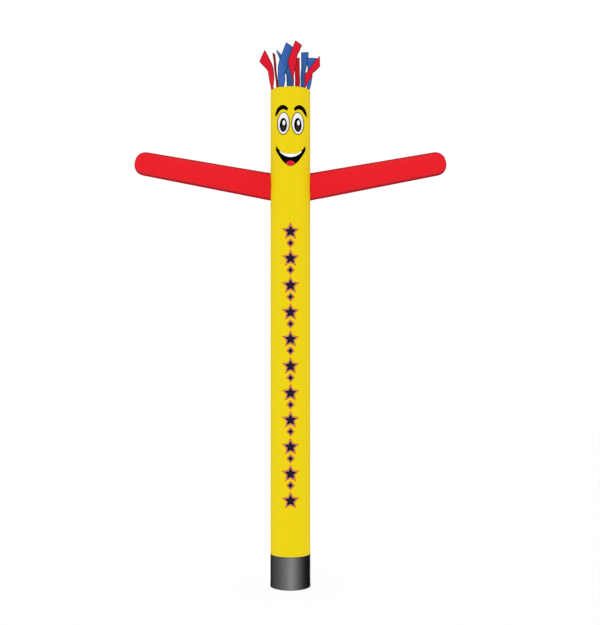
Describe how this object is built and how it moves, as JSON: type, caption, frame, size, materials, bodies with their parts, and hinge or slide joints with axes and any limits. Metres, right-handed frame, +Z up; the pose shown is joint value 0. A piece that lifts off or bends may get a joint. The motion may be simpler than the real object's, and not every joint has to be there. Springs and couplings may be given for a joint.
{
  "type": "inflatable air dancer",
  "caption": "Tall inflated fabric tube figure with two raised arms, a closed top with loose hair strips and an open black sleeve at its foot that fits over a blower.",
  "frame": {"origin": "middle of the foot, on the ground, at the bottom centre of the bounding box", "axes": "+Z up the column, arms along X, the printed front faces -Y"},
  "size_m": [3.6654, 0.5648, 6.3695],
  "materials": {
    "yellow_ripstop": "smooth coated ripstop nylon",
    "red_ripstop": "smooth coated ripstop nylon",
    "hair_red": "uncoated ripstop nylon",
    "hair_blue": "uncoated ripstop nylon",
    "black_sleeve": "glossy vinyl coated polyester"
  },
  "bodies": {
    "root": {"body_tube": "yellow_ripstop", "base_sleeve": "black_sleeve", "crown": "yellow_ripstop", "arm_left": "red_ripstop", "arm_right": "red_ripstop", "hair_1_red": "hair_red", "hair_2_red": "hair_red", "hair_3_blue": "hair_blue", "hair_4_red": "hair_red", "hair_5_red": "hair_red", "hair_6_blue": "hair_blue", "hair_7_blue": "hair_blue", "hair_8_red": "hair_red", "hair_9_blue": "hair_blue"}
  },
  "joints": []
}
